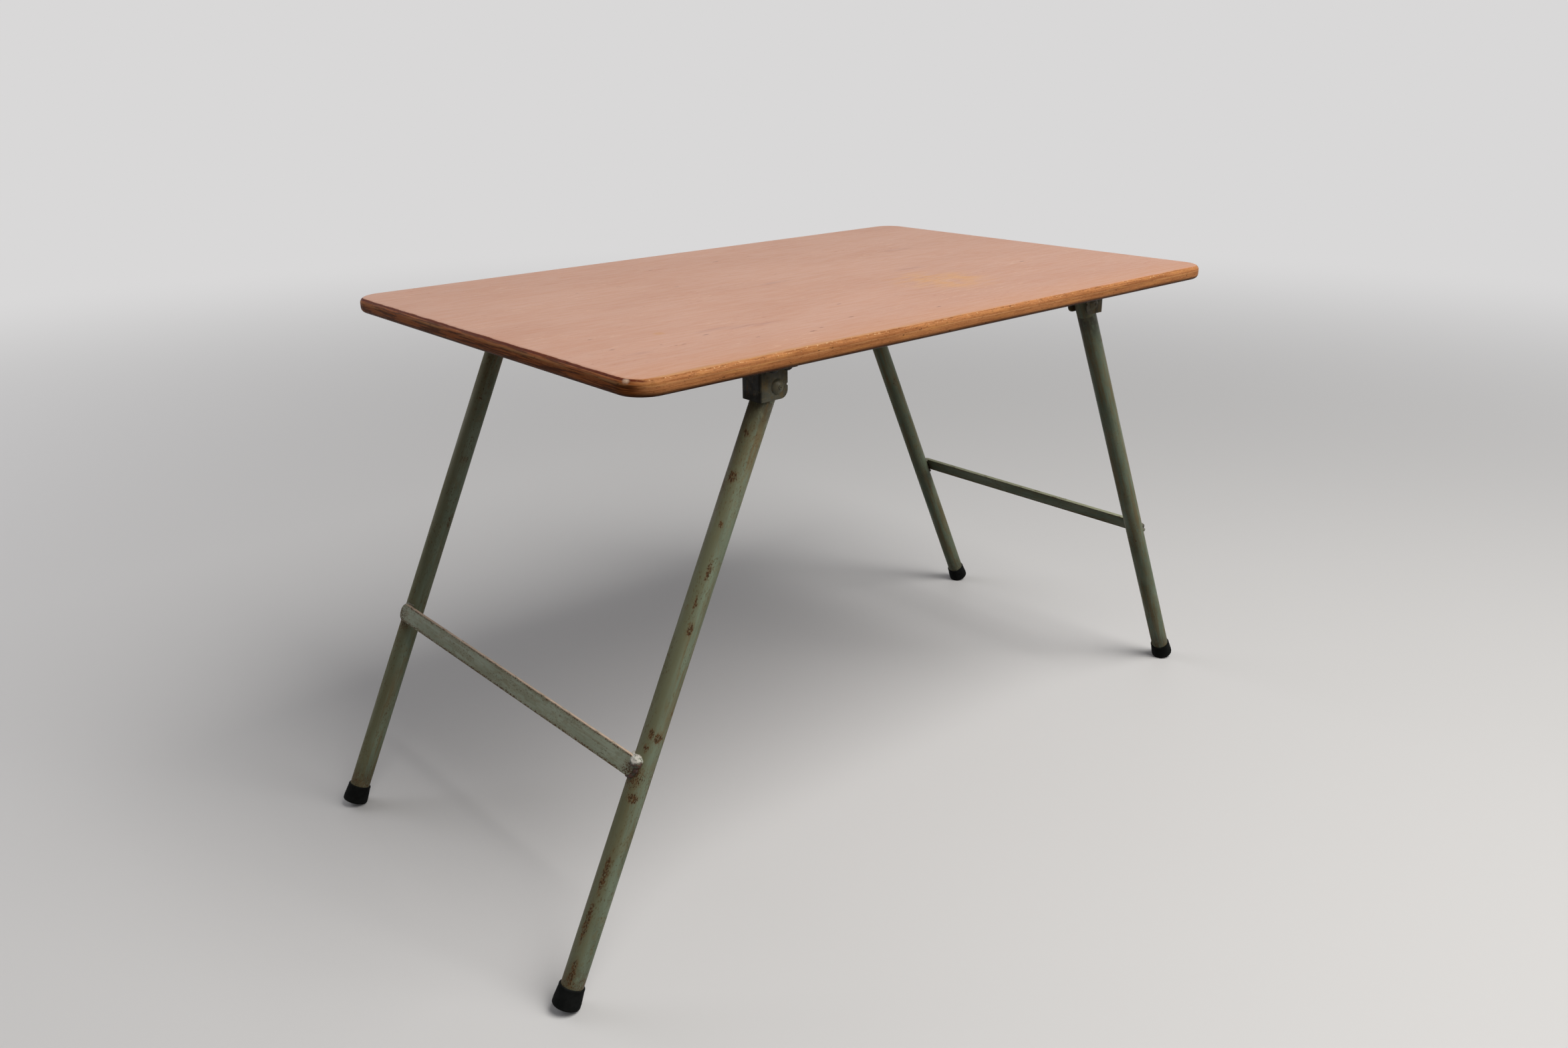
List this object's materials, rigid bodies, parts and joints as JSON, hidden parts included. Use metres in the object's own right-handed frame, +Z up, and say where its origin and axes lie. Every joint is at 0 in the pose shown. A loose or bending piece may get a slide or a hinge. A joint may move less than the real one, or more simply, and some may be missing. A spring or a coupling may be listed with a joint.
{
  "type": "folding table",
  "caption": "Folding table with a rounded plywood top on splayed round steel legs, joined in pairs by flat cross bars, that swing up flat under the top.",
  "frame": {"origin": "on the floor, midway between the four feet", "axes": "+X along the top towards the narrower leg frame, +Y across the top, +Z up"},
  "size_m": [1.1988, 0.6, 0.661],
  "materials": {
    "plywood": "worn satin varnish on beech plywood",
    "bracket_paint": "worn grey-green paint on folded sheet steel",
    "rivet_paint": "grey-green paint on steel rivets",
    "screw_black": "black japanned steel screws",
    "frame_paint": "worn grey-green paint with rust on steel",
    "weld_metal": "thinly painted rough weld",
    "foot_rubber": "matte black rubber"
  },
  "bodies": {
    "top": {"bracket_screws_far_left": "screw_black", "bracket_screws_far_right": "screw_black", "bracket_screws_near_left": "screw_black", "bracket_screws_near_right": "screw_black", "hinge_bracket_far_left": "bracket_paint", "hinge_bracket_far_right": "bracket_paint", "hinge_bracket_near_left": "bracket_paint", "hinge_bracket_near_right": "bracket_paint", "pivot_rivet_far_left": "rivet_paint", "pivot_rivet_far_right": "rivet_paint", "pivot_rivet_near_left": "rivet_paint", "pivot_rivet_near_right": "rivet_paint", "tabletop_panel": "plywood"},
    "left_frame": {"cross_bar_left": "frame_paint", "leg_tube_far_left": "frame_paint", "leg_tube_near_left": "frame_paint", "rubber_foot_far_left": "foot_rubber", "rubber_foot_near_left": "foot_rubber", "weld_bead_far_left": "weld_metal", "weld_bead_near_left": "weld_metal"},
    "right_frame": {"cross_bar_right": "frame_paint", "leg_tube_far_right": "frame_paint", "leg_tube_near_right": "frame_paint", "rubber_foot_far_right": "foot_rubber", "rubber_foot_near_right": "foot_rubber", "weld_bead_far_right": "weld_metal", "weld_bead_near_right": "weld_metal"}
  },
  "joints": [
    {"name": "left_frame_fold", "type": "hinge", "parent": "top", "child": "left_frame", "pos_m": [-0.2955, 0, 0.62], "axis": [0, -1, 0], "range_deg": [0, 114.7]},
    {"name": "right_frame_fold", "type": "hinge", "parent": "top", "child": "right_frame", "pos_m": [0.2955, 0, 0.62], "axis": [0, 1, 0], "range_deg": [0, 115.3]}
  ]
}
